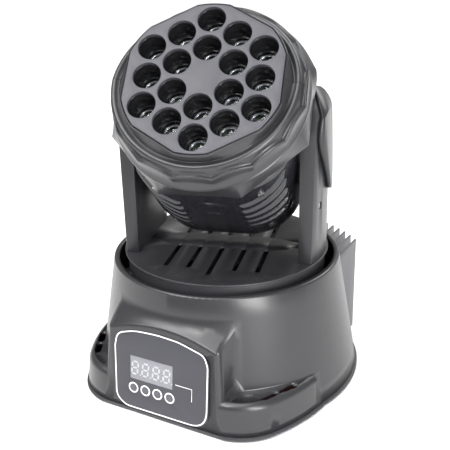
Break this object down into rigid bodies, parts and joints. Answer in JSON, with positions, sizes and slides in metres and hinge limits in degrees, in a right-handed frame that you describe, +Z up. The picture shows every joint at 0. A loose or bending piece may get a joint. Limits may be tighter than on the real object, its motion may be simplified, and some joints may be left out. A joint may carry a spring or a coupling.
{
  "type": "moving head light",
  "caption": "Compact moving head wash light: a round base with control panel, a panning yoke, and a tilting head with a honeycomb of lenses.",
  "frame": {"origin": "on the resting surface, on the pan axis, which is also the middle of the footprint", "axes": "+Z up, the control panel faces -Y, +X to the right of the panel"},
  "size_m": [0.2396, 0.2396, 0.3241],
  "materials": {
    "housing": "moulded, fine grain, satin",
    "lens_face": "satin grey moulding",
    "black_shell": "glossy black moulding",
    "yoke_steel": "dark grey powder coat",
    "black_plate": "black powder coat",
    "panel_film": "printed film",
    "window": "grey clear window",
    "display": "display block",
    "button": "satin black",
    "pcb": "solder mask",
    "bare_metal": "machined",
    "aluminium": "mill finish",
    "black_fins": "dark anodised",
    "lens": "clear",
    "tube": "glossy black",
    "led": "phosphor and ceramic",
    "belt": "matte rubber",
    "rubber": "matte rubber",
    "connector": "black nylon",
    "wire": "red insulation",
    "fan": "black"
  },
  "bodies": {
    "base": {"base_shell": "housing", "base_plate": "black_plate", "rubber_feet": "rubber", "control_panel": "panel_film", "display_window": "window", "display_module": "display", "control_board": "pcb", "power_supply": "aluminium", "main_board": "pcb", "rear_panel": "black_plate", "power_inlet": "connector", "fuse_holder": "connector", "data_input": "bare_metal", "data_output": "bare_metal", "cooling_fins": "black_fins", "pan_bridge": "bare_metal", "pan_bearing": "bare_metal", "pan_motor": "bare_metal", "pan_belt": "belt", "base_screws": "bare_metal", "data_wires": "wire"},
    "yoke": {"turntable_disc": "yoke_steel", "turntable_skirt": "black_plate", "pan_shaft": "aluminium", "pan_pulley": "aluminium", "right_arm": "housing", "left_arm": "housing", "right_arm_panel": "black_plate", "left_arm_panel": "black_plate", "tilt_cover": "housing", "yoke_screws": "bare_metal", "tilt_bearings": "bare_metal", "tilt_motor": "bare_metal", "tilt_belt": "belt"},
    "head": {"face_plate": "lens_face", "lens_tubes": "tube", "lenses": "lens", "led_board": "aluminium", "led_emitters": "led", "front_ring_upper": "housing", "front_ring_lower": "housing", "head_band_upper": "housing", "head_band_lower": "housing", "rear_shell_upper": "black_shell", "rear_shell_lower": "black_shell", "head_screws": "bare_metal", "heat_sink": "aluminium", "head_frame": "bare_metal", "right_trunnion": "aluminium", "left_trunnion": "aluminium", "tilt_pulley": "aluminium", "fan_frame": "fan", "fan_grille": "black_plate"},
    "fan": {"fan_rotor": "fan"},
    "pan_motor_wheel": {"pan_motor_pulley": "aluminium"},
    "tilt_motor_wheel": {"tilt_motor_pulley": "aluminium"},
    "menu_button": {"menu_button": "button"},
    "up_button": {"up_button": "button"},
    "down_button": {"down_button": "button"},
    "enter_button": {"enter_button": "button"}
  },
  "joints": [
    {"name": "pan", "type": "hinge", "parent": "base", "child": "yoke", "pos_m": [0, 0, 0.1], "axis": [0, 0, 1], "range_deg": [-285.6, 254.4]},
    {"name": "tilt", "type": "hinge", "parent": "yoke", "child": "head", "pos_m": [0, 0, 0.2167], "axis": [0.9632, 0.2689, 0], "range_deg": [-138.6, 41.4]},
    {"name": "fan_spin", "type": "hinge", "parent": "head", "child": "fan", "pos_m": [-0.01331, 0.04768, 0.17305], "axis": [0.2017, -0.7225, 0.6613], "continuous": true},
    {"name": "pan_motor_spin", "type": "hinge", "parent": "base", "child": "pan_motor_wheel", "pos_m": [0.056, 0.028, 0.09], "axis": [0, 0, 1], "range_deg": [-957, 853]},
    {"name": "tilt_motor_spin", "type": "hinge", "parent": "yoke", "child": "tilt_motor_wheel", "pos_m": [0.07763, 0.02167, 0.184], "axis": [0.9632, 0.2689, 0], "range_deg": [-467, 143]},
    {"name": "menu_press", "type": "slide", "parent": "base", "child": "menu_button", "axis": [0, 0.9945, -0.1045], "range_m": [0, 0.0008], "stiffness_N_per_m": 300},
    {"name": "up_press", "type": "slide", "parent": "base", "child": "up_button", "axis": [0, 0.9945, -0.1045], "range_m": [0, 0.0008], "stiffness_N_per_m": 300},
    {"name": "down_press", "type": "slide", "parent": "base", "child": "down_button", "axis": [0, 0.9945, -0.1045], "range_m": [0, 0.0008], "stiffness_N_per_m": 300},
    {"name": "enter_press", "type": "slide", "parent": "base", "child": "enter_button", "axis": [0, 0.9945, -0.1045], "range_m": [0, 0.0008], "stiffness_N_per_m": 300}
  ],
  "couplings": [
    {"joint": "pan_motor_spin", "follows": "pan", "ratio": 3.3333},
    {"joint": "tilt_motor_spin", "follows": "tilt", "ratio": 3.3333}
  ]
}
